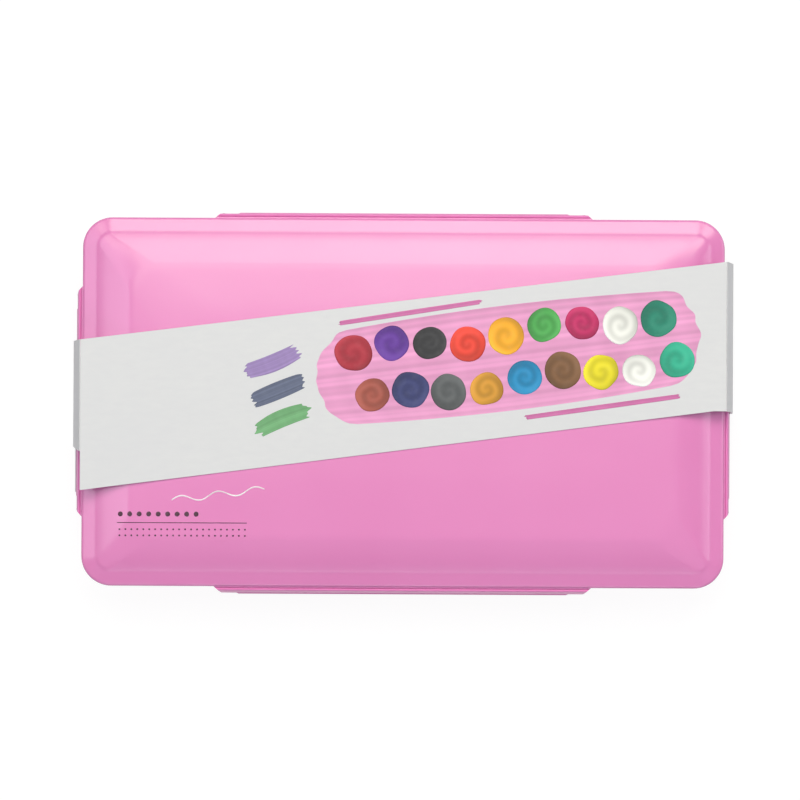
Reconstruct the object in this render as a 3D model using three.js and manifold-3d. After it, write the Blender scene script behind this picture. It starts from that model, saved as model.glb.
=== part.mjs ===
// Gouache paint set: a moulded tray with a rack of paint cups and a brush trough, a palette,
// a lid with four snap latches, and a card band round the closed box.
// Millimetres, +Z up, X along the box. The origin is the middle of the card that the box lies on.
import * as THREE from 'three';
import { mergeVertices } from 'three/addons/utils/BufferGeometryUtils.js';
import Module from 'manifold-3d';

const wasm = await Module();
wasm.setup();

// What every piece shares
const clearance = 0.3; // between pieces that touch
const overrun = 1; // how far a cutting or joined solid runs past a face
const mergeDistance = 1e-4;
const cornerSteps = 4; // facets in a quarter round
const cupCornerSteps = 3;
const roundMidShare = 1 - Math.SQRT1_2; // how far a quarter round's middle lies from its corner

// Lid
const lidCornerRadius = 14.5; // seen from above
const leastCornerRadius = 6; // of the rings further in
const pillowRadiusShare = 0.5; // of the distance in over the raised panel, which its corners gain
const lidWall = 1.8;
const lidSkirtHeight = 5; // upright edge, from the rim to where its top rounds over
const lidEdgeRound = 0.8;
const lidBandWidth = 6.6; // sloping border round the raised panel
const lidBandRise = 2.2;
const lidStepRun = 1.2; // small step from the border up to the panel
const lidStepHeight = 0.6;
const lidSlopeRun = 15.8; // rounded shoulder of the panel
const lidSlopeHeight = 5.2;
const lidCrownRun = 23.6;
const lidCrownHeight = 0.9;
const shoulderRiseShares = [0.27, 0.49, 0.68, 0.85]; // of the shoulder's height, at fifths of its run

// Locating lip under the lid, and the groove in the tray that it drops into
const lipThickness = 1.2;
const lipDrop = 2; // how far it reaches down into the groove
const lipPlay = 0.35; // on each side of it in the groove

// Tray
const trayRimInset = 0.8; // its rim, in from the lid's edge
const trayRimWidth = 7.8;
const trayRimHeight = 2.7; // of the bead round the outside
const trayWall = 2;
const trayShelfWall = 1.8;
const trayShelfWidth = 4;
const trayWallInset = 3; // its outer wall, in from the lid's edge, just under the bead
const trayDraft = 4.5; // how much further in the wall is at the foot
const trayHeight = 29.5;
const trayFootRound = 3.5;
const trayFloor = 1.8;
const grooveDepth = 2.3;

// Rack of cup openings, which lies on the tray's shelf
const rackPlate = 1.6;
const cupColumns = 6;
const cupRows = 3;
const columnGap = 4.5; // between the cups' flanges along a row
const rowGap = 2.5;
const rackEndMargin = 6.7; // from the rack's ends to the first and last flange
const rackBackMargin = 1.2;
const openingPlay = 0.45; // round each cup in its opening

// Brush trough, which is part of the rack
const troughEndMargin = 7.95; // from the rack's ends
const troughGap = 0.7; // from the front row's flanges
const troughWidth = 20;
const troughDepth = 20.5;
const troughRadius = 9;
const troughWall = 1.2;
const troughDraft = 1.2;

// Cups
const flangeSize = 42.5;
const flangeRadius = 5;
const flangeThickness = 1;
const flangeReach = 2.1; // how far the flange stands out over the rack
const cupWall = 1;
const cupDepth = 21.5; // under the flange
const cupDraft = 3.1;
const cupFootRound = 1.2;

// Paint in the cups
const paintDrop = 1.8; // of its surface under the cup's edge
const paintDomeRise = 0.5;
const paintPeakRise = 0.6;
const paintDomeShare = 0.45; // of the surface's half width
const paintPeakShare = 0.1;

// Palette
const paletteEndMargin = 7.45; // in from the rack's ends
const paletteSideMargin = 5;
const paletteRadius = 10;
const paletteThickness = 1.4;
const paletteRimWidth = 2.4;
const paletteRimHeight = 0.8;

// Snap latches
const latchThickness = 1.3;
const latchSplay = 0.8; // how much further out its foot stands than its hinge
const latchDrop = 19; // from the hinge line to the lower edge
const latchHingeRise = 3.7; // of the hinge line over the lid's rim
const latchMountReach = 0.45; // of the ledge on the lid that carries the hinge
const latchMountHeight = 1.8;
const longLatchLength = 183.4;
const shortLatchLength = 112;
const latchEndChamfer = 3.6; // in plan, from the lid's edge to the finger lip
const latchCornerRadius = 6;
const fingerLipHeight = 1.6;
const fingerLipReach = 0.5;
const fingerLipMargin = 8; // of the lip at each end of the latch
const arcSteps = 6; // facets in a half round

// Undercut hook on each latch, and the ridge on the tray that it snaps under
const ridgeReach = 0.25; // of the ridge's tip, in from the lid's edge
const ridgeTopDrop = 7.9; // from the tray's rim to the ridge's tip
const ridgeTipHeight = 0.8;
const ridgeUndercutDepth = 1.2;
const ridgeTopSlopeHeight = 2.4;
const ridgeMargin = 6; // of the ridge at each end of its latch
const hookEngagement = 0.65;
const hookClearance = 0.32;
const hookTipHeight = 0.5;
const hookBackHeight = 2;
const undercutAngle = THREE.MathUtils.degToRad(63); // from level

// Card band round the closed box
const cardThickness = 0.4;
const creaseReach = 0.4; // of its creases past the lid's ends
const bandLeftFront = -43.4;
const bandLeftBack = 29.7;
const bandRightFront = -3.6;
const bandRightBack = 68.9;
const bandFrontBendRun = 5.8; // from the right crease to where the front edge turns level
const bandTabFront = -24.5; // front edge of the narrower left end panel, at its crease
const bandTabTaper = 5; // of that edge, towards the foot
const bandLatchPlay = 0.4; // from a latch's outer face to an end panel
const bandLipPlay = 1; // from its finger lip
const bandBowDrop = 10.5; // from the top crease to where the panel passes the latch's hinge
const bandBellyDrop = 27;
const glueFlapHeight = 11;
const glueFlapInset = 6; // of the flap at each side of its end panel

// Colours and finishes
const lidPink = 0xeb92c5;
const trayPink = 0xe79ac6;
const cardWhite = 0xe4e4e3;
const paletteWhite = 0xf1f1ef;
const cupClear = 0xdfe4e6;
const paintColours = [
  ['crimson', 0xa62639], ['burnt_sienna', 0x9c4a3f], ['violet', 0x5a2d91],
  ['navy', 0x2b3163], ['black', 0x1d1d20], ['dark_grey', 0x4a4d50],
  ['vermilion', 0xe23c2c], ['yellow_ochre', 0xcb8b26], ['golden_yellow', 0xf2a71e],
  ['sky_blue', 0x1583b8], ['green', 0x3f9a46], ['raw_umber', 0x6e4a2c],
  ['magenta', 0xb81d5c], ['lemon_yellow', 0xe2d318], ['white_one', 0xe9e9e4],
  ['white_two', 0xeeeeea], ['viridian', 0x147a63], ['emerald', 0x25a886],
];

// Heights of what lies on what, from the card up
const trayFoot = cardThickness + clearance;
const trayRim = trayFoot + trayHeight;
const grooveFloor = trayRim - grooveDepth;
const rackTop = grooveFloor + clearance + rackPlate;
const flangeFoot = rackTop + clearance;
const flangeTop = flangeFoot + flangeThickness;
const paletteFoot = flangeTop + clearance;
const lidRim = trayRim + clearance;
const lidEdgeTop = lidRim + lidSkirtHeight + lidEdgeRound;
const lidBandTop = lidEdgeTop + lidBandRise;
const lidTop = lidBandTop + lidStepHeight + lidSlopeHeight + lidCrownHeight;
const bandTopFoot = lidTop + clearance;
const creaseHeight = bandTopFoot + cardThickness / 2;

// Places that several pieces share, as distances in from the lid's edge
const grooveInset = trayRimInset + trayRimWidth;
const grooveWidth = lipThickness + 2 * lipPlay;
const rackInset = grooveInset + grooveWidth;
const hingeReach = latchMountReach + clearance + latchThickness / 2;
const hingeHeight = lidRim + latchHingeRise;
// The trough's wall passes just inside the tray's shelf.
const troughMargin = trayShelfWidth - grooveWidth + clearance + troughWall;

// Plan of the box, from the cups outward
const cupPitchX = flangeSize + columnGap;
const cupPitchY = flangeSize + rowGap;
const rackLength = cupColumns * cupPitchX - columnGap + 2 * rackEndMargin;
const cupRowsDepth = cupRows * cupPitchY - rowGap;
const rackDepth = rackBackMargin + cupRowsDepth + troughGap + troughWidth + troughMargin;
const lidLength = rackLength + 2 * rackInset;
const lidDepth = rackDepth + 2 * rackInset;
const latchReach = hingeReach + latchThickness / 2;
const latchFootReach = latchReach + latchSplay;
const latchLipReach = latchFootReach + fingerLipReach;
const bandHalfLength = lidLength / 2 + creaseReach;
const bandLatchReach = lidLength / 2 + latchReach + bandLatchPlay;
const bandFootReach = lidLength / 2 + latchLipReach + bandLipPlay;

const boxOutline = { halfX: lidLength / 2, halfY: lidDepth / 2, radius: lidCornerRadius };
const lidOutline = { ...boxOutline, pillowInset: lidBandWidth + lidStepRun };

// Corner radius of a ring: it shrinks with the inset, and grows again over a pillow shape.
function cornerRadius(outline, inset) {
  const least = Math.min(leastCornerRadius, outline.radius);
  const shrunk = Math.max(outline.radius - inset, least);
  const { pillowInset = inset } = outline;
  return shrunk + Math.max(inset - pillowInset, 0) * pillowRadiusShare;
}

// A ring of points round a rounded rectangle, anticlockwise from above.
function roundedRing(outline, inset, height, steps) {
  const halfX = outline.halfX - inset;
  const halfY = outline.halfY - inset;
  const radius = Math.min(cornerRadius(outline, inset), halfX, halfY);
  const corners = [[1, 1], [-1, 1], [-1, -1], [1, -1]];
  return corners.flatMap(([sideX, sideY], quarter) => {
    const points = [];
    for (let step = 0; step <= steps; step += 1) {
      const angle = (quarter + step / steps) * Math.PI / 2;
      points.push(new THREE.Vector3(
        sideX * (halfX - radius) + radius * Math.cos(angle),
        sideY * (halfY - radius) + radius * Math.sin(angle),
        height,
      ));
    }
    return points;
  });
}

// A closed solid through rings of like count, with a flat cap on its first and last ring.
function loft(rings) {
  const count = rings[0].length;
  const last = (rings.length - 1) * count;
  const faces = [];
  for (let ring = 0; ring + 1 < rings.length; ring += 1) {
    for (let k = 0; k < count; k += 1) {
      const here = ring * count + k;
      const beside = ring * count + (k + 1) % count;
      faces.push(here, beside, beside + count, here, beside + count, here + count);
    }
  }
  for (let k = 1; k + 1 < count; k += 1) {
    faces.push(0, k + 1, k, last, last + k, last + k + 1);
  }
  const geometry = new THREE.BufferGeometry();
  const positions = rings.flat().flatMap((point) => [point.x, point.y, point.z]);
  geometry.setAttribute('position', new THREE.Float32BufferAttribute(positions, 3));
  geometry.setIndex(faces);
  return geometry;
}

// A loft whose section is a list of [inset, height] pairs, carried round an outline.
function loftSection(outline, section, steps = cornerSteps) {
  return loft(section.map(([inset, height]) => roundedRing(outline, inset, height, steps)));
}

function solidOf(geometry) {
  const bare = geometry.clone();
  bare.deleteAttribute('normal');
  bare.deleteAttribute('uv');
  const merged = mergeVertices(bare, mergeDistance);
  return new wasm.Manifold(new wasm.Mesh({
    numProp: 3,
    vertProperties: Float32Array.from(merged.attributes.position.array),
    triVerts: Uint32Array.from(merged.index.array),
  }));
}

function geometryOf(solid) {
  const mesh = solid.getMesh();
  const geometry = new THREE.BufferGeometry();
  geometry.setAttribute('position', new THREE.Float32BufferAttribute(mesh.vertProperties, 3));
  geometry.setIndex(Array.from(mesh.triVerts));
  return geometry;
}

function shapeOf(points) {
  return new THREE.Shape(points.map(([x, y]) => new THREE.Vector2(x, y)));
}

function extrudeUp(shape, height) {
  return new THREE.ExtrudeGeometry(shape, { depth: height, bevelEnabled: false });
}

// A solid whose section lies across a side of the box: x is outward and y is up.
// It runs along that side and is centred on it.
function extrudeAlongSide(points, length) {
  const geometry = extrudeUp(shapeOf(points), length);
  geometry.translate(0, 0, -length / 2);
  geometry.rotateX(Math.PI / 2);
  return geometry;
}

// A solid whose outline is seen square on to a side: x is along the side and y is up.
function extrudeAcrossSide(points, from, to) {
  const geometry = extrudeUp(shapeOf(points), to - from);
  geometry.rotateX(Math.PI / 2);
  geometry.rotateZ(Math.PI / 2);
  geometry.translate(from, 0, 0);
  return geometry;
}

// The four sides of the box, each with its turn about +Z and the lid's half width there.
const sides = [
  { name: 'right', turn: 0, half: lidLength / 2, latchLength: shortLatchLength },
  { name: 'back', turn: Math.PI / 2, half: lidDepth / 2, latchLength: longLatchLength },
  { name: 'left', turn: Math.PI, half: lidLength / 2, latchLength: shortLatchLength },
  { name: 'front', turn: -Math.PI / 2, half: lidDepth / 2, latchLength: longLatchLength },
];

// Moves a solid made at the origin to the lid's edge on one side.
function placeAtSide(geometry, side) {
  const placed = geometry.clone();
  placed.translate(side.half, 0, 0);
  placed.rotateZ(side.turn);
  return placed;
}

// A box seen from above as a trapezium, wide at the lid's edge and narrower further out.
function chamferedPlan(length, from, to, foot, height) {
  const slope = latchEndChamfer / latchLipReach;
  const nearHalf = length / 2 - slope * Math.max(from, 0);
  const farHalf = length / 2 - slope * to;
  const geometry = extrudeUp(shapeOf([
    [from, -nearHalf], [to, -farHalf], [to, farHalf], [from, nearHalf],
  ]), height);
  geometry.translate(0, 0, foot);
  return geometry;
}

// Lid: one closed section from the middle of its ceiling, out to the rim and back over the top.
function lidShell() {
  const bandEnd = lidBandWidth;
  const stepEnd = bandEnd + lidStepRun;
  const slopeEnd = stepEnd + lidSlopeRun;
  const crownEnd = slopeEnd + lidCrownRun;
  const stepTop = lidBandTop + lidStepHeight;
  const slopeTop = stepTop + lidSlopeHeight;
  const lipOuter = grooveInset + lipPlay;
  const lipInner = lipOuter + lipThickness;
  const lipFoot = trayRim - lipDrop;
  const borderCeiling = lidEdgeTop - lidWall;
  const shoulder = shoulderRiseShares.map((share, index) => [
    stepEnd + (index + 1) / (shoulderRiseShares.length + 1) * lidSlopeRun,
    stepTop + share * lidSlopeHeight,
  ]);
  const ceiling = shoulder.slice(1).map(([inset, height]) => [inset, height - lidWall]);
  const section = [
    [crownEnd, lidTop - lidWall],
    [slopeEnd, slopeTop - lidWall],
    ...ceiling.reverse(),
    [lipInner, lidBandTop],
    [lipInner, lipFoot],
    [lipOuter, lipFoot],
    [lipOuter, borderCeiling + lidBandRise],
    [lidWall, borderCeiling],
    [lidWall, lidRim],
    [0, lidRim],
    [0, lidRim + lidSkirtHeight],
    [lidEdgeRound * roundMidShare, lidEdgeTop - lidEdgeRound * roundMidShare],
    [lidEdgeRound, lidEdgeTop],
    [bandEnd, lidBandTop],
    [stepEnd, stepTop],
    ...shoulder,
    [slopeEnd, slopeTop],
    [crownEnd, lidTop],
  ];
  let solid = solidOf(loftSection(lidOutline, section));
  const mountFoot = hingeHeight - latchMountHeight / 2;
  sides.forEach((side) => {
    const ledge = chamferedPlan(
      side.latchLength, -lidWall / 2, latchMountReach, mountFoot, latchMountHeight,
    );
    solid = solid.add(solidOf(placeAtSide(ledge, side)));
  });
  return geometryOf(solid);
}

// Section of the ridge on the tray's wall. Outward of the lid's edge is positive.
function ridgeSection() {
  const tip = -ridgeReach;
  const root = -(trayWallInset + trayWall);
  const top = trayRim - ridgeTopDrop;
  const foot = top - ridgeTipHeight;
  const undercutFoot = foot - ridgeUndercutDepth * Math.tan(undercutAngle);
  return [
    [root, undercutFoot],
    [tip - ridgeUndercutDepth, undercutFoot],
    [tip, foot],
    [tip, top],
    [root, top + ridgeTopSlopeHeight],
  ];
}

// Tray: one closed section from the middle of its underside, up the wall and over the rim
// to the shelf that carries the rack, then down inside to the floor.
function trayShell() {
  const footInset = trayWallInset + trayDraft;
  const rimInner = grooveInset;
  const shelfFoot = grooveFloor - trayShelfWall;
  const rimCeiling = trayRim - trayShelfWall;
  const underBead = trayRim - trayRimHeight;
  const wallTop = underBead - (trayWallInset - trayRimInset) / 2;
  const floorTop = trayFoot + trayFloor;
  const section = [
    [footInset + trayFootRound, trayFoot],
    [footInset + trayFootRound * roundMidShare, trayFoot + trayFootRound * roundMidShare],
    [footInset, trayFoot + trayFootRound],
    [trayWallInset, wallTop],
    [trayRimInset, underBead],
    [trayRimInset, trayRim - lidEdgeRound],
    [trayRimInset + lidEdgeRound, trayRim],
    [rimInner, trayRim],
    [rimInner, grooveFloor],
    [rimInner + trayShelfWidth, grooveFloor],
    [rimInner + trayShelfWidth, shelfFoot],
    [rimInner - trayShelfWall, shelfFoot],
    [rimInner - trayShelfWall, rimCeiling],
    [trayWallInset + trayWall, rimCeiling],
    [footInset + trayWall, trayFoot + trayFootRound],
    [footInset + trayFootRound + trayWall, floorTop],
  ];
  let solid = solidOf(loftSection(boxOutline, section));
  sides.forEach((side) => {
    const ridge = extrudeAlongSide(ridgeSection(), side.latchLength - 2 * ridgeMargin);
    solid = solid.add(solidOf(placeAtSide(ridge, side)));
  });
  return geometryOf(solid);
}

const rackOutline = { halfX: rackLength / 2, halfY: rackDepth / 2, radius: leastCornerRadius };
const flangeOutline = { halfX: flangeSize / 2, halfY: flangeSize / 2, radius: flangeRadius };
const troughOutline = {
  halfX: rackLength / 2 - troughEndMargin,
  halfY: troughWidth / 2,
  radius: troughRadius,
};
const troughCentreY = -rackOutline.halfY + troughMargin + troughWidth / 2;

// Places of the cups, row by row from the back left.
const cupPlaces = [];
for (let row = 0; row < cupRows; row += 1) {
  for (let column = 0; column < cupColumns; column += 1) {
    cupPlaces.push(new THREE.Vector3(
      (column - (cupColumns - 1) / 2) * cupPitchX,
      rackOutline.halfY - rackBackMargin - flangeSize / 2 - row * cupPitchY,
      0,
    ));
  }
}

// Rack: a plate with an opening for each cup, and the brush trough moulded into it.
function cupRack() {
  const plateFoot = rackTop - rackPlate;
  const plate = shapeOf(roundedRing(rackOutline, 0, 0, cornerSteps).map((p) => [p.x, p.y]));
  const openingInset = flangeReach - openingPlay;
  cupPlaces.forEach((place) => {
    const ring = roundedRing(flangeOutline, openingInset, 0, cupCornerSteps);
    const points = ring.map((p) => new THREE.Vector2(p.x + place.x, p.y + place.y));
    plate.holes.push(new THREE.Path(points));
  });
  const plateGeometry = extrudeUp(plate, rackPlate);
  plateGeometry.translate(0, 0, plateFoot);

  const troughFloor = rackTop - troughDepth;
  const body = loftSection(troughOutline, [
    [troughDraft, troughFloor - troughWall],
    [-troughWall, rackTop - rackPlate / 2],
  ]);
  const hollow = loftSection(troughOutline, [
    [troughDraft + troughWall, troughFloor],
    [troughDraft, troughFloor + troughWall],
    [0, rackTop + overrun],
  ]);
  body.translate(0, troughCentreY, 0);
  hollow.translate(0, troughCentreY, 0);
  return geometryOf(solidOf(plateGeometry).add(solidOf(body)).subtract(solidOf(hollow)));
}

// Cup: an open tapered pot that hangs by its flange.
function paintCup() {
  const foot = flangeFoot - cupDepth;
  return loftSection(flangeOutline, [
    [flangeReach + cupDraft + cupFootRound, foot],
    [flangeReach + cupDraft, foot + cupFootRound],
    [flangeReach, flangeFoot],
    [0, flangeFoot],
    [0, flangeTop],
    [flangeReach + cupWall, flangeTop],
    [flangeReach + cupDraft + cupWall, foot + cupWall + cupFootRound],
    [flangeReach + cupDraft + cupWall + cupFootRound, foot + cupWall],
  ], cupCornerSteps);
}

// Paint: it fills the cup to just under the edge, with a low dome and a small peak.
function paintFill() {
  const foot = flangeFoot - cupDepth + cupWall + clearance;
  const top = flangeTop - paintDrop;
  const wallInset = flangeReach + cupWall + clearance;
  const floorInset = wallInset + cupDraft;
  const surfaceInset = wallInset + cupDraft * (paintDrop / cupDepth);
  const half = flangeSize / 2;
  const domeInset = half - half * paintDomeShare;
  const peakInset = half - half * paintPeakShare;
  const rings = [
    [floorInset + cupFootRound, foot],
    [floorInset, foot + cupFootRound],
    [surfaceInset, top],
    [domeInset, top + paintDomeRise],
    [peakInset, top + paintDomeRise + paintPeakRise],
  ];
  return loftSection(flangeOutline, rings, cupCornerSteps);
}

// Palette: a thin plate with rounded corners and a low rim.
function palettePlate() {
  const outline = {
    halfX: rackLength / 2 - paletteEndMargin,
    halfY: rackDepth / 2 - paletteSideMargin,
    radius: paletteRadius,
  };
  const top = paletteFoot + paletteThickness;
  return loftSection(outline, [
    [0, paletteFoot],
    [0, top + paletteRimHeight],
    [paletteRimWidth / 2, top + paletteRimHeight],
    [paletteRimWidth, top],
  ]);
}

// Section of a latch: a half round at the hinge, an inner hook, and an outer face that
// slopes out to the finger lip.
// x is outward from the lid's edge and y is the height.
function latchSection() {
  const inner = hingeReach - latchThickness / 2;
  const foot = hingeHeight - latchDrop;
  const points = [];
  for (let step = 0; step <= arcSteps; step += 1) {
    const angle = Math.PI * step / arcSteps;
    points.push([
      hingeReach + Math.cos(angle) * latchThickness / 2,
      hingeHeight + Math.sin(angle) * latchThickness / 2,
    ]);
  }
  const slope = Math.tan(undercutAngle);
  const ridgeFoot = trayRim - ridgeTopDrop - ridgeTipHeight;
  const lineX = -ridgeReach + hookClearance * Math.sin(undercutAngle);
  const lineY = ridgeFoot - hookClearance * Math.cos(undercutAngle);
  const tipX = -ridgeReach - hookEngagement;
  const tipY = lineY - (lineX - tipX) * slope;
  const hookTopY = lineY + (inner - lineX) * slope;
  points.push(
    [inner, hookTopY],
    [tipX, tipY],
    [tipX, tipY - hookTipHeight],
    [inner, tipY - hookTipHeight - hookBackHeight],
    [inner + latchSplay, foot],
    [latchLipReach, foot],
    [latchLipReach, foot + fingerLipHeight],
    [latchFootReach, foot + fingerLipHeight + fingerLipReach],
  );
  return points;
}

// Outline of a latch seen square on: straight at the hinge, with round lower corners.
function latchOutline(length) {
  const half = length / 2;
  const foot = hingeHeight - latchDrop - overrun;
  const top = hingeHeight + latchThickness;
  const points = [[half, top], [-half, top]];
  const corners = [[-1, Math.PI], [1, 1.5 * Math.PI]];
  corners.forEach(([way, start]) => {
    for (let step = 0; step <= cornerSteps; step += 1) {
      const angle = start + step / cornerSteps * Math.PI / 2;
      points.push([
        way * (half - latchCornerRadius) + latchCornerRadius * Math.cos(angle),
        foot + overrun + latchCornerRadius + latchCornerRadius * Math.sin(angle),
      ]);
    }
  });
  return points;
}

// Latch: its section run along the side, trimmed to its outline and its plan.
function latchBody(length) {
  const reach = latchLipReach + overrun;
  const inward = -(ridgeReach + hookEngagement + overrun);
  const foot = hingeHeight - latchDrop - overrun;
  const bar = solidOf(extrudeAlongSide(latchSection(), length));
  const outline = solidOf(extrudeAcrossSide(latchOutline(length), inward, reach));
  const height = latchDrop + latchThickness + 2 * overrun;
  const plan = solidOf(chamferedPlan(length, inward, reach, foot, height));
  const lipTop = foot + overrun + fingerLipHeight + fingerLipReach;
  let solid = bar.intersect(outline).intersect(plan);
  [-1, 1].forEach((way) => {
    const end = way * (length / 2 - fingerLipMargin);
    const far = way * (length / 2 + overrun);
    const trim = extrudeUp(shapeOf([
      [latchFootReach, Math.min(end, far)], [reach, Math.min(end, far)],
      [reach, Math.max(end, far)], [latchFootReach, Math.max(end, far)],
    ]), lipTop - foot + overrun);
    trim.translate(0, 0, foot);
    solid = solid.subtract(solidOf(trim));
  });
  return geometryOf(solid);
}

// Outline of the band's top and under panels, seen from above.
function bandPlan(halfLength) {
  return [
    [-halfLength, bandLeftFront],
    [bandHalfLength - bandFrontBendRun, bandRightFront],
    [halfLength, bandRightFront],
    [halfLength, bandRightBack],
    [-halfLength, bandLeftBack],
  ];
}

function bandTopPanel() {
  const geometry = extrudeUp(shapeOf(bandPlan(bandHalfLength)), cardThickness);
  geometry.translate(0, 0, bandTopFoot);
  return geometry;
}

// Line that an end panel follows down the box's end, from its crease to its foot.
function endPanelLine() {
  return [
    [bandHalfLength + clearance + cardThickness / 2, creaseHeight],
    [bandLatchReach + cardThickness / 2, creaseHeight - bandBowDrop],
    [bandFootReach + cardThickness / 2, creaseHeight - bandBellyDrop],
    [bandFootReach + cardThickness / 2, clearance],
  ];
}

// End panel: the card's thickness along that line, round at the crease.
function endPanelSection() {
  const line = endPanelLine();
  const half = cardThickness / 2;
  const [[creaseX, creaseY], ...below] = line;
  const innerSide = below.map(([x, y]) => [x - half, y]);
  const outerSide = below.map(([x, y]) => [x + half, y]);
  const round = [];
  for (let step = 0; step <= arcSteps; step += 1) {
    const angle = Math.PI * step / arcSteps;
    round.push([creaseX + half * Math.cos(angle), creaseY + half * Math.sin(angle)]);
  }
  return [...round, ...innerSide, ...outerSide.reverse()];
}

// An end panel from its front edge to its back edge, which a taper draws in towards the foot.
function endPanel(front, back, backTaper) {
  const bar = extrudeAlongSide(endPanelSection(), back - front);
  bar.translate(0, (front + back) / 2, 0);
  const outline = extrudeAcrossSide([
    [front - overrun, creaseHeight + cardThickness],
    [front - overrun, 0],
    [back - backTaper, 0],
    [back, creaseHeight],
    [back, creaseHeight + cardThickness],
  ], bandHalfLength, bandFootReach + cardThickness + overrun);
  return geometryOf(solidOf(bar).intersect(solidOf(outline)));
}

// Under panel: it lies beneath the tray, and its two glue flaps stand up inside the end panels.
function bandUnderPanel() {
  const reach = bandFootReach - clearance;
  const base = extrudeUp(shapeOf(bandPlan(reach)), cardThickness);
  let solid = solidOf(base);
  const flaps = [
    [-1, bandTabFront + bandTabTaper, bandLeftBack],
    [1, bandRightFront, bandRightBack],
  ];
  flaps.forEach(([way, front, back]) => {
    const near = way * (reach - cardThickness);
    const far = way * reach;
    const flap = extrudeUp(shapeOf([
      [Math.min(near, far), front + glueFlapInset],
      [Math.max(near, far), front + glueFlapInset],
      [Math.max(near, far), back - glueFlapInset],
      [Math.min(near, far), back - glueFlapInset],
    ]), glueFlapHeight);
    solid = solid.add(solidOf(flap));
  });
  return geometryOf(solid);
}

function moulded(colour, roughness) {
  return new THREE.MeshStandardMaterial({ color: colour, roughness, metalness: 0 });
}

const pinkLid = moulded(lidPink, 0.42);
const pinkTray = moulded(trayPink, 0.45);
const card = moulded(cardWhite, 0.8);
const clearPlastic = moulded(cupClear, 0.15);
const whitePlastic = moulded(paletteWhite, 0.35);

const paintSet = new THREE.Group();

function addPiece(name, geometry, material, parent = paintSet) {
  const mesh = new THREE.Mesh(geometry, material);
  mesh.name = name;
  parent.add(mesh);
  return mesh;
}

addPiece('base_shell', trayShell(), pinkTray);
addPiece('cup_rack', cupRack(), pinkTray);
addPiece('palette', palettePlate(), whitePlastic);
addPiece('lid_shell', lidShell(), pinkLid);

sides.forEach((side) => {
  const sideFrame = new THREE.Group();
  sideFrame.rotation.z = side.turn;
  paintSet.add(sideFrame);
  const latch = addPiece(`latch_${side.name}`, latchBody(side.latchLength), pinkLid, sideFrame);
  latch.position.x = side.half;
});

cupPlaces.forEach((place, index) => {
  const number = String(index + 1).padStart(2, '0');
  const [paintName, colour] = paintColours[index % paintColours.length];
  const paint = moulded(colour, 0.35);
  paint.name = paintName;
  addPiece(`cup_${number}`, paintCup(), clearPlastic).position.copy(place);
  addPiece(`paint_${number}`, paintFill(), paint).position.copy(place);
});

addPiece('band_front', bandTopPanel(), card);
addPiece('band_under', bandUnderPanel(), card);
addPiece('band_right_end', endPanel(bandRightFront, bandRightBack, 0), card);
const leftFrame = new THREE.Group();
leftFrame.rotation.z = Math.PI;
paintSet.add(leftFrame);
addPiece('band_left_end', endPanel(-bandLeftBack, -bandTabFront, bandTabTaper), card, leftFrame);

export default paintSet;
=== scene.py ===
import math

import bmesh
import bpy
import numpy as np
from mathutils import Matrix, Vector


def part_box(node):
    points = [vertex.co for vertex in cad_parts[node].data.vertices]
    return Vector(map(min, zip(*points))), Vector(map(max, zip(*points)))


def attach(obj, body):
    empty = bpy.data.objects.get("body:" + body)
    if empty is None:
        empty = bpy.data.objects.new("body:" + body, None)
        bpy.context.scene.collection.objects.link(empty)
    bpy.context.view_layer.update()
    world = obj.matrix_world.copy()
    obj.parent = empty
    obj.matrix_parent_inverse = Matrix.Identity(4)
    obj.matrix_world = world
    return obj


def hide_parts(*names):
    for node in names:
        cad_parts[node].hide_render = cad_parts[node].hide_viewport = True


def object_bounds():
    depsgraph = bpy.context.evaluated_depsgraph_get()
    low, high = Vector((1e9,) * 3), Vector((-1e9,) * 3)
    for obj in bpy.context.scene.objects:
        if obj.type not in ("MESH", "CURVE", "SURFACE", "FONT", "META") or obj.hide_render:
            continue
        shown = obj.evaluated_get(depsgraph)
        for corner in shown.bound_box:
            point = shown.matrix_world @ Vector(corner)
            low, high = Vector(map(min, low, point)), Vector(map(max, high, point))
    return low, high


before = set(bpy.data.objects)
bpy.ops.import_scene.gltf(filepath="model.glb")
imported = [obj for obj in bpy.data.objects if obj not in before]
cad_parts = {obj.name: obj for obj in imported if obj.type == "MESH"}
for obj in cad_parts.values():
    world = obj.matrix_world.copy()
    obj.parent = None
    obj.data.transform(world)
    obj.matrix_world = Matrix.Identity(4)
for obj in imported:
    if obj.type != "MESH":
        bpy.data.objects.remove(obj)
CAD_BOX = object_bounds()

# Places of the pieces, from the frame, in metres
LID_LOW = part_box("lid_shell")[0]
TRAY_LOW, TRAY_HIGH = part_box("base_shell")
RACK_LOW, RACK_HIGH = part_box("cup_rack")
PALETTE_LOW, PALETTE_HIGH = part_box("palette")
BAND_LOW, BAND_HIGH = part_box("band_front")
UNDER_LOW, UNDER_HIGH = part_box("band_under")

# Lid, as distances in from its edge and heights over its rim
RIDGE_INSET = 0.00025
TRAY_INSET = 0.0008
RIM_GAP = 0.0003
LID_HALF = np.array(TRAY_HIGH[:2], float) + RIDGE_INSET
LID_RIM = TRAY_HIGH[2] + RIM_GAP
LID_RADIUS = 0.0145
LEAST_RADIUS = 0.006
LID_WALL = 0.0018
SKIRT_RISE = 0.0058
BORDER_WIDTH = 0.0066
BORDER_RISE = 0.0022
STEP_RUN = 0.0012
STEP_RISE = 0.0006
SHOULDER_RUN = 0.0158
SHOULDER_RISE = 0.0052
SHOULDER_SHARES = (0.27, 0.49, 0.68, 0.85)
CROWN_RUN = 0.0236
CROWN_RISE = 0.0009
FLAT_RUN = 0.018
PILLOW_INSET = BORDER_WIDTH + STEP_RUN
PILLOW_SHARE = 0.5
LOCATOR_OUTER = 0.00895
LOCATOR_INNER = 0.01015

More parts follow.
